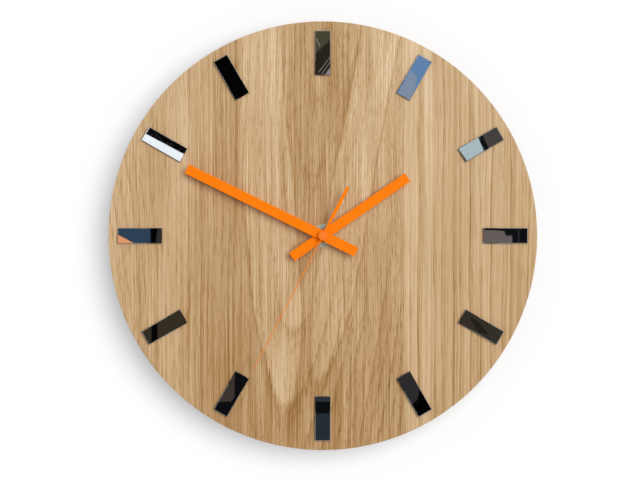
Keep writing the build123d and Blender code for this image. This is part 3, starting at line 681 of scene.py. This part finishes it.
knob_low, knob_high = (Vector(corner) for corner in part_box("setting_knob"))
knob_centre = (knob_low + knob_high) / 2
knob_centre.y = 0
cover = eased_copy("movement_cover", "rear_cover_moulding", COVER_EASE)
engrave(cover, arrow_shaft(knob_centre))
engrave(cover, arrow_head(knob_centre))
engrave(cover, sign_bar(SIGN_X, SIGN_Z, SIGN_SPAN, MARK_WIDTH))
engrave(cover, sign_bar(SIGN_X, SIGN_Z, MARK_WIDTH, SIGN_SPAN))
engrave(cover, sign_bar(-SIGN_X, SIGN_Z, SIGN_SPAN, MARK_WIDTH))
finish_piece(cover, case_plastic, "clock_body", "case_plastic", "movement_cover")

# The setting knob
# A fluted thumb wheel moulded in black plastic and pressed on the minute wheel's shaft inside its well.
# The flutes are softened where the mould parts.
KNOB_EASE = 0.2
knob_plastic = grained_finish("knob_plastic", srgb(30, 30, 32), srgb(52, 52, 55),
                              size=0.2, smooth=0.35, rough=0.5, relief=0.02)
knob = eased_copy("setting_knob", "fluted_setting_knob", KNOB_EASE)
finish_piece(knob, knob_plastic, "setting_group", "case_plastic", "setting_knob")

# The wheels
# Gears moulded in natural acetal, ivory and waxy, on brass and steel arbors. A bridge moulded in the same
# acetal carries their rear pivots.
# The clutch spring is a dished washer of hard steel that drags the minute arbor round.
acetal = grained_finish("acetal", srgb(214, 210, 196), srgb(236, 233, 222),
                        size=0.5, smooth=0.35, rough=0.5, relief=0.01,
                        subsurface_weight=0.1, subsurface_scale=0.5 * MM)
steel = turned_metal("bright_steel", srgb(140, 140, 142), srgb(190, 190, 192),
                     smooth=0.22, rough=0.36, metallic=1.0)
dress(acetal, "hour_wheel", "minute_wheel", "centre_gear", "third_wheel", "second_wheel",
      "intermediate_wheel", "rotor_pinion", "train_bridge")
dress(brass, "minute_arbor")
dress(steel, "second_arbor", "clutch_spring")

# The stepping motor
# A laminated soft-iron stator round a black ferrite rotor, closed by a core bar through the coil.
# The coil is one enamelled copper wire wound from end to end of an acetal bobbin.
WIRE = 0.4
WIRE_SIDES = 8
STEPS_PER_TURN = 24
soft_iron = grained_finish("soft_iron", srgb(120, 120, 124), srgb(160, 160, 163),
                           size=0.35, smooth=0.4, rough=0.55, relief=0.01, metallic=1.0)
ferrite = grained_finish("ferrite", srgb(30, 30, 32), srgb(52, 51, 52),
                         size=0.15, smooth=0.5, rough=0.7, relief=0.02)
copper = grained_finish("enamelled_copper", srgb(168, 84, 36), srgb(204, 116, 58),
                        size=0.3, smooth=0.2, rough=0.32, relief=0.01, metallic=0.9)
dress(soft_iron, "stator", "coil_core")
dress(ferrite, "rotor_magnet")
dress(acetal, "coil_bobbin")


def wound_coil():
    """One wire wound in a close helix along the bobbin, its ends closed."""
    low, high = (Vector(corner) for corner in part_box("coil_winding"))
    wire_ring = (high.x - low.x) / 2 - WIRE / 2 * MM
    turns = int((high.z - low.z) / (WIRE * MM)) - 1
    bpy.ops.object.select_all(action="DESELECT")
    bpy.ops.mesh.primitive_circle_add(vertices=WIRE_SIDES, radius=WIRE / 2 * MM, location=(wire_ring, 0, 0),
                                      rotation=(radians(90), 0, 0))
    coil = bpy.context.object
    coil.name = "copper_winding"
    bpy.ops.object.transform_apply()
    bpy.ops.object.modifier_add(type="SCREW")
    screw = coil.modifiers[-1]
    screw.screw_offset = WIRE * MM
    screw.iterations = turns
    screw.steps = screw.render_steps = STEPS_PER_TURN
    bpy.ops.object.modifier_apply(modifier=screw.name)
    bpy.ops.object.mode_set(mode="EDIT")
    bpy.ops.mesh.select_all(action="SELECT")
    bpy.ops.mesh.fill_holes(sides=WIRE_SIDES)
    bpy.ops.mesh.normals_make_consistent(inside=False)
    bpy.ops.object.mode_set(mode="OBJECT")
    spare = high.z - low.z - turns * WIRE * MM
    coil.location = ((low.x + high.x) / 2, (low.y + high.y) / 2, low.z + spare / 2)
    bpy.ops.object.transform_apply()
    return coil


finish_piece(wound_coil(), copper, "clock_body", "copper_wire", "coil_winding")

# The circuit board
# A scrap of green laminate staked on two posts, with tinned tracks to the contacts.
# It carries the crystal in a small drawn can and the chip under a blob of black resin.
TRACK_PITCH = 1.6
TRACK_SHARE = 0.35
TRACK_BEND = 3.0
TRACK_SLOPE = 0.6
TRACK_RELIEF = 0.04
TRACK_GREEN = srgb(60, 130, 82)
TRACK_ROUGHNESS = 0.35
LAMINATE_GREENS = ((0.3, srgb(18, 78, 44)), (0.7, srgb(32, 98, 58)))
LAMINATE_ROUGHNESS = 0.5


def laminate_finish():
    """Green lacquer over a glass weave, paler and raised where the tracks zigzag under it."""
    finish, tree, shader = new_finish("board_laminate")
    x, _, z, place = millimetres(tree)
    board = ramp(tree, mottle(tree, place, scale=3.0, detail=2.0), LAMINATE_GREENS)
    zigzag = calc(tree, "MULTIPLY_ADD", calc(tree, "PINGPONG", x, TRACK_BEND), TRACK_SLOPE, z)
    row = calc(tree, "FRACT", calc(tree, "DIVIDE", zigzag, TRACK_PITCH))
    track = calc(tree, "LESS_THAN", row, TRACK_SHARE)
    tree.links.new(blend_colours(tree, track, board, TRACK_GREEN), shader.inputs["Base Color"])
    roughness = rescale(tree, track, (0.0, 1.0), (LAMINATE_ROUGHNESS, TRACK_ROUGHNESS))
    tree.links.new(roughness, shader.inputs["Roughness"])
    raise_relief(tree, shader, track, TRACK_RELIEF)
    return finish


chip_resin = grained_finish("chip_resin", srgb(12, 12, 13), srgb(26, 26, 28),
                            size=0.6, smooth=0.18, rough=0.3, relief=0.02)
dress(laminate_finish(), "circuit_board")
dress(steel, "quartz_crystal")
dress(chip_resin, "chip_blob")

# The battery
# An AA cell: a drawn steel can with a pressed nub at one end and a rolled crimp at the other.
# A plain grey sleeve is shrunk on it, with a dark band and a plus sign at the nub's end and a minus at
# the other.
BATTERY_STEPS = 72
CAN_OUTLINE = (
    (0.0, 0.0), (0.0, 4.5), (0.3, 4.9), (0.3, 5.6), (0.05, 6.0), (0.12, 6.45), (0.5, 6.85), (0.9, 6.95),
    (47.4, 6.95), (47.85, 6.8), (48.2, 6.4), (48.3, 5.9), (48.1, 5.5), (48.0, 3.4), (48.2, 2.8),
    (48.6, 2.62), (49.2, 2.6), (49.42, 2.48), (49.5, 2.2), (49.5, 0.0),
)
SLEEVE_START = 1.1
SLEEVE_END = 47.1
SLEEVE_INSIDE = 6.96
SLEEVE_OUTSIDE = 7.1
SLEEVE_OUTLINE = (
    (SLEEVE_START, SLEEVE_INSIDE), (0.95, 7.03), (SLEEVE_START, SLEEVE_OUTSIDE),
    (SLEEVE_END, SLEEVE_OUTSIDE), (47.25, 7.03), (SLEEVE_END, SLEEVE_INSIDE),
    (SLEEVE_START, SLEEVE_INSIDE),
)
SLEEVE_BAND = 13.5
SLEEVE_SIGN_INSET = 5.0
SLEEVE_SIGN_REACH = 2.0
SLEEVE_SIGN_HALF_WIDTH = 0.45
SLEEVE_GREYS = ((0.3, srgb(172, 176, 180)), (0.7, srgb(190, 194, 198)))
SLEEVE_SLATES = ((0.3, srgb(52, 60, 70)), (0.7, srgb(64, 72, 82)))
SLEEVE_PLUS = srgb(232, 232, 230)
SLEEVE_MINUS = srgb(52, 60, 70)
SLEEVE_ROUGHNESS = (0.28, 0.4)
LENGTHWISE = Vector((1, 0, 0))
UPWARD = Vector((0, 0, 1))


def lathe(name, outline, start, along, outward, steps):
    """A piece spun from its outline, given as (along the axis, out from it) in millimetres from a start."""
    points = [start + along * a * MM + outward * r * MM for a, r in outline]
    bpy.ops.object.select_all(action="DESELECT")
    bpy.ops.mesh.primitive_plane_add(size=MM)
    piece = bpy.context.object
    piece.name = name
    bpy.ops.object.mode_set(mode="EDIT")
    bpy.ops.mesh.select_all(action="SELECT")
    bpy.ops.mesh.merge(type="CENTER")
    bpy.ops.transform.translate(value=points[0])
    for here, there in zip(points, points[1:]):
        bpy.ops.mesh.extrude_region_move(TRANSFORM_OT_translate={"value": there - here})
    bpy.ops.mesh.select_all(action="SELECT")
    bpy.ops.mesh.spin(steps=steps, angle=2 * pi, center=start, axis=along)
    bpy.ops.mesh.select_all(action="SELECT")
    bpy.ops.mesh.remove_doubles(threshold=SAME_POINT * MM)
    bpy.ops.mesh.normals_make_consistent(inside=False)
    bpy.ops.object.mode_set(mode="OBJECT")
    return piece


def sleeve_finish(start):
    """Printed film: a grey length, a slate band, and the signs on the side that faces out of the bay."""
    finish, tree, shader = new_finish("battery_sleeve", coat_weight=0.4)
    x, y, z, place = millimetres(tree)
    along = calc(tree, "SUBTRACT", x, start.x / MM)
    turn = calc(tree, "ARCTAN2", calc(tree, "SUBTRACT", z, start.z / MM),
                calc(tree, "SUBTRACT", y, start.y / MM))
    off_middle = calc(tree, "ABSOLUTE", calc(tree, "MULTIPLY", turn, SLEEVE_OUTSIDE))

    def bar(middle, half_length, half_height):
        """1 on one stroke of a sign."""
        aside = calc(tree, "ABSOLUTE", calc(tree, "SUBTRACT", along, middle))
        within_length = calc(tree, "LESS_THAN", aside, half_length)
        return calc(tree, "MULTIPLY", within_length, calc(tree, "LESS_THAN", off_middle, half_height))

    plus_at = SLEEVE_END - SLEEVE_SIGN_INSET
    minus_at = SLEEVE_START + SLEEVE_SIGN_INSET
    plus = calc(tree, "MAXIMUM", bar(plus_at, SLEEVE_SIGN_REACH, SLEEVE_SIGN_HALF_WIDTH),
                bar(plus_at, SLEEVE_SIGN_HALF_WIDTH, SLEEVE_SIGN_REACH))
    minus = bar(minus_at, SLEEVE_SIGN_REACH, SLEEVE_SIGN_HALF_WIDTH)
    band = calc(tree, "GREATER_THAN", along, SLEEVE_END - SLEEVE_BAND)
    blotches = mottle(tree, place, scale=0.6, detail=3.0)
    grey = ramp(tree, blotches, SLEEVE_GREYS)
    slate = ramp(tree, blotches, SLEEVE_SLATES)
    colour = blend_colours(tree, band, grey, slate)
    colour = blend_colours(tree, plus, colour, SLEEVE_PLUS)
    colour = blend_colours(tree, minus, colour, SLEEVE_MINUS)
    tree.links.new(colour, shader.inputs["Base Color"])
    tree.links.new(rescale(tree, blotches, MOTTLE_SPAN, SLEEVE_ROUGHNESS), shader.inputs["Roughness"])
    return finish


cell_low, cell_high = (Vector(corner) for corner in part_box("battery_cell"))
cell_start = Vector((cell_low.x, (cell_low.y + cell_high.y) / 2, (cell_low.z + cell_high.z) / 2))
battery_steel = grained_finish("battery_can", srgb(160, 160, 158), srgb(196, 196, 193),
                               size=0.5, smooth=0.25, rough=0.38, relief=0.01, metallic=1.0)
can = lathe("steel_battery_can", CAN_OUTLINE, cell_start, LENGTHWISE, UPWARD, BATTERY_STEPS)
finish_piece(can, battery_steel, "battery", "battery_can", "battery_cell")
sleeve = lathe("shrunk_battery_sleeve", SLEEVE_OUTLINE, cell_start, LENGTHWISE, UPWARD, BATTERY_STEPS)
finish_piece(sleeve, sleeve_finish(cell_start), "battery", "battery_sleeve", "battery_wrap")

# The battery contacts
# Strips of nickel-plated spring steel, bent on edge and pushed through slots in the dividing wall.
# Rolling leaves fine lines along the strip.
ROLLED_RELIEF = 0.003


def rolled_strip_finish():
    """Bright metal with the roll's lines along the strip."""
    finish, tree, shader = new_finish("rolled_strip", metallic=1.0)
    _, y, _, _ = millimetres(tree)
    tooled_surface(tree, shader, across=y, dark=srgb(158, 156, 150), light=srgb(200, 198, 192),
                   smooth=0.2, rough=0.34, relief=ROLLED_RELIEF)
    return finish


dress(rolled_strip_finish(), "positive_contact", "negative_contact")

# The wall
# A plain white wall of matt paint that the clock hangs on; it takes the clock's shadow.
# It is clear from behind, so that the movement can be looked at, and it keeps no light off the back.
WALL_SIDE = 6000.0
WALL_GAP = 0.5
WALL_PAINT = 0.62
WALL_GLOW = (0.384, 0.389, 0.398, 1.0)


def seen_directly(tree):
    """1 on rays from the camera, in mirrors and through glass."""
    path = add_node(tree, "LightPath").outputs
    mirrored = calc(tree, "MAXIMUM", path["Is Glossy Ray"], path["Is Transmission Ray"])
    return calc(tree, "MAXIMUM", path["Is Camera Ray"], mirrored)


def bare_finish(name):
    """A material with no shader yet, and the socket that its surface goes to."""
    finish = bpy.data.materials.new(name)
    finish.use_nodes = True
    finish.node_tree.nodes.remove(finish.node_tree.nodes["Principled BSDF"])
    return finish, finish.node_tree, finish.node_tree.nodes["Material Output"].inputs["Surface"]


def wall_finish():
    """Matt paint with an even glow that only the eye sees, and nothing at all from behind."""
    finish, tree, surface = bare_finish("white_wall")
    paint = add_node(tree, "BsdfDiffuse", {"Color": (WALL_PAINT, WALL_PAINT, WALL_PAINT, 1.0)})
    glow = add_node(tree, "Emission", {"Color": WALL_GLOW, "Strength": seen_directly(tree)})
    lit = add_node(tree, "AddShader", {0: paint.outputs[0], 1: glow.outputs[0]})
    clear = add_node(tree, "BsdfTransparent")
    behind = add_node(tree, "NewGeometry").outputs["Backfacing"]
    mix = add_node(tree, "MixShader", {0: behind, 1: lit.outputs[0], 2: clear.outputs[0]})
    tree.links.new(mix.outputs[0], surface)
    return finish


bpy.ops.object.select_all(action="DESELECT")
bpy.ops.mesh.primitive_plane_add(size=WALL_SIDE * MM, location=(0, WALL_GAP * MM, 0),
                                 rotation=(radians(90), 0, 0))
wall = bpy.context.object
wall.name = "wall"
wall.data.materials.append(wall_finish())
wall.visible_shadow = False

# What the bars mirror
# A dim studio behind the camera, seen only as a reflection: a dark wall hung with glowing cards, which are
# painted reflections. Each card is laid out on the bar that shows it, in millimetres across and up from the
# bar's middle.
CAMERA_DISTANCE = 2000.0
CAMERA_X = -2.16
CAMERA_Z = -3.3
STUDIO_BEHIND_CAMERA = 300.0
STUDIO_WIDTH = 9000.0
STUDIO_DARK = (14, 14, 16)
CARD_GAP = 2.0
CARD_LAP = 0.02
CARD_LENGTH = 40.0
CARD_WIDTH = 17.0
NIGHT, SLATE, NAVY, SKY, PEARL = (4, 4, 5), (68, 64, 61), (47, 64, 83), (97, 129, 168), (236, 240, 243)
# Painted reflections that fill a bar: the hour of the bar and the colour.
WHOLE_REFLECTION_CARDS = {1: SKY, 4: (52, 47, 39), 5: (45, 42, 44), 8: (52, 45, 34), 9: NAVY, 10: PEARL, 11: NIGHT,
               12: (40, 35, 27)}
# Painted reflections that fill a part of a bar: the hour, the colour and the corners. Each laps over those
# before it.
PART_REFLECTION_CARDS = (
    (1, (126, 140, 160), ((-2.5, 5.4), (2.3, 0.6), (0.9, -7.1), (-3, -17.7), (-12.6, -12.4))),
    (1, NIGHT, ((11, 14), (15, 13), (12.9, 10.2))),
    (2, (170, 184, 187), ((-18, -3), (-2.5, 5.5), (2, -5), (-10.7, -13))),
    (2, SLATE, ((1.2, 7), (12.4, 14.5), (18.5, 4.4), (6.2, -4))),
    (3, (99, 91, 89), ((-18, 4.2), (-7.3, 4.2), (-1.1, 3.5), (0, 0), (4.7, 0), (5.2, -7), (-18, -7))),
    (3, (40, 42, 48), ((9.5, 7), (10.5, 7), (10.5, -7), (9.5, -7))),
    (4, (35, 31, 24), ((-9, 8), (-3, 5), (6, -6), (-2, -4))),
    (5, NIGHT, ((5, 7), (3.8, 1.5), (2.3, -4.2), (-2, -8.1), (4.2, -18), (16, -11))),
    (6, (44, 50, 54), ((-7, 18), (7, 18), (7, 13.1), (-7, 13.1))),
    (6, (37, 43, 51), ((-7, 4), (7, 4), (7, -18), (-7, -18))),
    (7, (60, 52, 47), ((2.8, 15), (2.3, -2.3), (0, -5.7), (-9.2, -6), (-9, -3.3))),
    (8, NIGHT, ((-10, 2), (-5.4, 5), (-5.2, -9), (-10, -12.4))),
    (9, NIGHT, ((8.1, 7), (13.9, 7), (11.9, -7), (8.1, -7))),
    (9, (47, 44, 41), ((13.9, 7), (18, 7), (18, -7), (11.9, -7))),
    (9, (225, 150, 100), ((-18, 1.4), (-3.9, -6.2), (-18, -7))),
    (10, NIGHT, ((-10, 15), (18.7, -3.6), (16.3, -8.3), (-14.3, 8))),
    (12, (72, 67, 50), ((-7, 18), (7, 18), (7, 11.4), (-7, -2))),
    (12, (120, 118, 104), ((-5.2, 10.6), (-4.3, 10.8), (-1.9, 4.9), (-2.8, 4.5))),
    (12, (120, 118, 110), ((-3.5, -14.8), (7, -1.2), (7, -2), (-3, -15.2))),
    (12, (120, 118, 110), ((-1.1, -16.3), (7, -4.6), (7, -5.4), (-0.6, -16.7))),
    (12, (140, 130, 135), ((7, -9.1), (7, -18), (0.9, -18))),
)
marker_ring = sum(span("hour_marker_12", "z")) / 2
camera_y = span("oak_face_veneer", "y")[0] - CAMERA_DISTANCE
studio_y = camera_y - STUDIO_BEHIND_CAMERA
mirror_reach = 1 + (marker_face - studio_y) / (marker_face - camera_y)


def mirrored_only(card, colour):
    """Makes a card glow evenly, its glow divided by the mirror's tint so that a bar shows the listed
    colour, and leaves it out of everything but reflections.
    """
    finish, tree, surface = bare_finish(card.name)
    shade = [value / MIRROR_TINT[0] for value in srgb(*colour)[:3]]
    glow = add_node(tree, "Emission", {"Color": (*shade, 1.0), "Strength": 1.0})
    tree.links.new(glow.outputs[0], surface)
    card.data.materials.append(finish)
    card.visible_camera = False
    card.visible_diffuse = False
    card.visible_shadow = False
    card.visible_transmission = False
    card.visible_volume_scatter = False


def turn_of(hour):
    """How far round the dial an hour stands, clockwise from the top."""
    return radians(hour * 360 / MARKER_COUNT)


def hang_reflection_card(name, hour, colour, corners, layer):
    """A glowing card, a painted reflection filling the given corners of one bar, as the camera sees it.
    Its layer counts the gaps between it and the studio's wall."""
    turn = turn_of(hour)
    eye = Vector((CAMERA_X, CAMERA_Z))
    points = []
    for across, up in corners:
        on_bar = Vector((marker_ring * sin(turn) + across, marker_ring * cos(turn) + up))
        in_studio = eye + (on_bar - eye) * mirror_reach
        points.append(Vector((in_studio.x, studio_y + layer * CARD_GAP, in_studio.y)) * MM)
    sheet = bpy.data.meshes.new(name)
    sheet.from_pydata(points, [], [range(len(points))])
    card = bpy.data.objects.new(name, sheet)
    bpy.context.scene.collection.objects.link(card)
    mirrored_only(card, colour)


def whole_bar(hour):
    """The corners of a card a little larger than its bar."""
    turn = turn_of(hour)
    outward = Vector((sin(turn), cos(turn))) * CARD_LENGTH / 2
    sideways = Vector((cos(turn), -sin(turn))) * CARD_WIDTH / 2
    return (outward + sideways, outward - sideways, -outward - sideways, -outward + sideways)


bpy.ops.object.select_all(action="DESELECT")
bpy.ops.mesh.primitive_plane_add(size=STUDIO_WIDTH * MM, location=(0, studio_y * MM, 0),
                                 rotation=(radians(90), 0, 0))
studio = bpy.context.object
studio.name = "studio_wall"
mirrored_only(studio, STUDIO_DARK)
# Each bar gets its painted reflection: a whole card first, then the part cards over it.
for hour, colour in WHOLE_REFLECTION_CARDS.items():
    hang_reflection_card(f"card_{hour:02d}", hour, colour, whole_bar(hour), layer=1)
for number, (hour, colour, corners) in enumerate(PART_REFLECTION_CARDS):
    hang_reflection_card(f"card_{hour:02d}_part_{number:02d}", hour, colour, corners, layer=2 + number * CARD_LAP)

# The room and the lamps
# A pale room for soft fill, one broad lamp at the upper right, and two behind for the back.
# The lamps are far off, so that the wall is lit evenly.
FILL = 0.33
KEY = 0.67
REAR = 0.4
KEY_FROM = (0.44, -1.0, 0.235)
REAR_FROM = ((-0.9, 1.9, 0.9), (1.3, 1.6, 0.2))
LAMP_SPREAD = 46


def light_room():
    """An even white room, full bright where it is seen and dimmer where it lights."""
    world = bpy.data.worlds.new("room")
    bpy.context.scene.world = world
    world.use_nodes = True
    tree = world.node_tree
    background = tree.nodes["Background"]
    background.inputs["Color"].default_value = (1.0, 1.0, 1.0, 1.0)
    brightness = rescale(tree, seen_directly(tree), (0.0, 1.0), (FILL, 1.0))
    tree.links.new(brightness, background.inputs["Strength"])


def add_lamp(name, direction, share):
    """A far soft lamp, giving a share of full light to a face square to it."""
    lamp = bpy.data.lights.new(name, "SUN")
    lamp.angle = radians(LAMP_SPREAD)
    lamp.energy = share * pi
    made = bpy.data.objects.new(name, lamp)
    made.location = direction
    made.rotation_euler = Vector(direction).to_track_quat("Z", "Y").to_euler()
    bpy.context.scene.collection.objects.link(made)
    return lamp


light_room()
slant = -Vector(KEY_FROM).normalized().y
add_lamp("key_lamp", KEY_FROM, KEY / slant)
for number, direction in enumerate(REAR_FROM):
    rear_lamp = add_lamp(f"rear_lamp_{number}", direction, REAR)
    rear_lamp.cycles.max_bounces = 0

# The camera
# It stands two metres in front, square to the dial and a little left of and below its middle.
# Its lens frames the clock and a margin of wall, as the photograph does.
FRAME_WIDTH = 492.5
lens = bpy.data.cameras.new("camera")
lens.lens = lens.sensor_width * CAMERA_DISTANCE / FRAME_WIDTH
camera = bpy.data.objects.new("camera", lens)
camera.location = Vector((CAMERA_X, camera_y, CAMERA_Z)) * MM
camera.rotation_euler = (radians(90), 0, 0)
bpy.context.scene.collection.objects.link(camera)
bpy.context.scene.camera = camera
bpy.context.scene.view_settings.view_transform = "Standard"
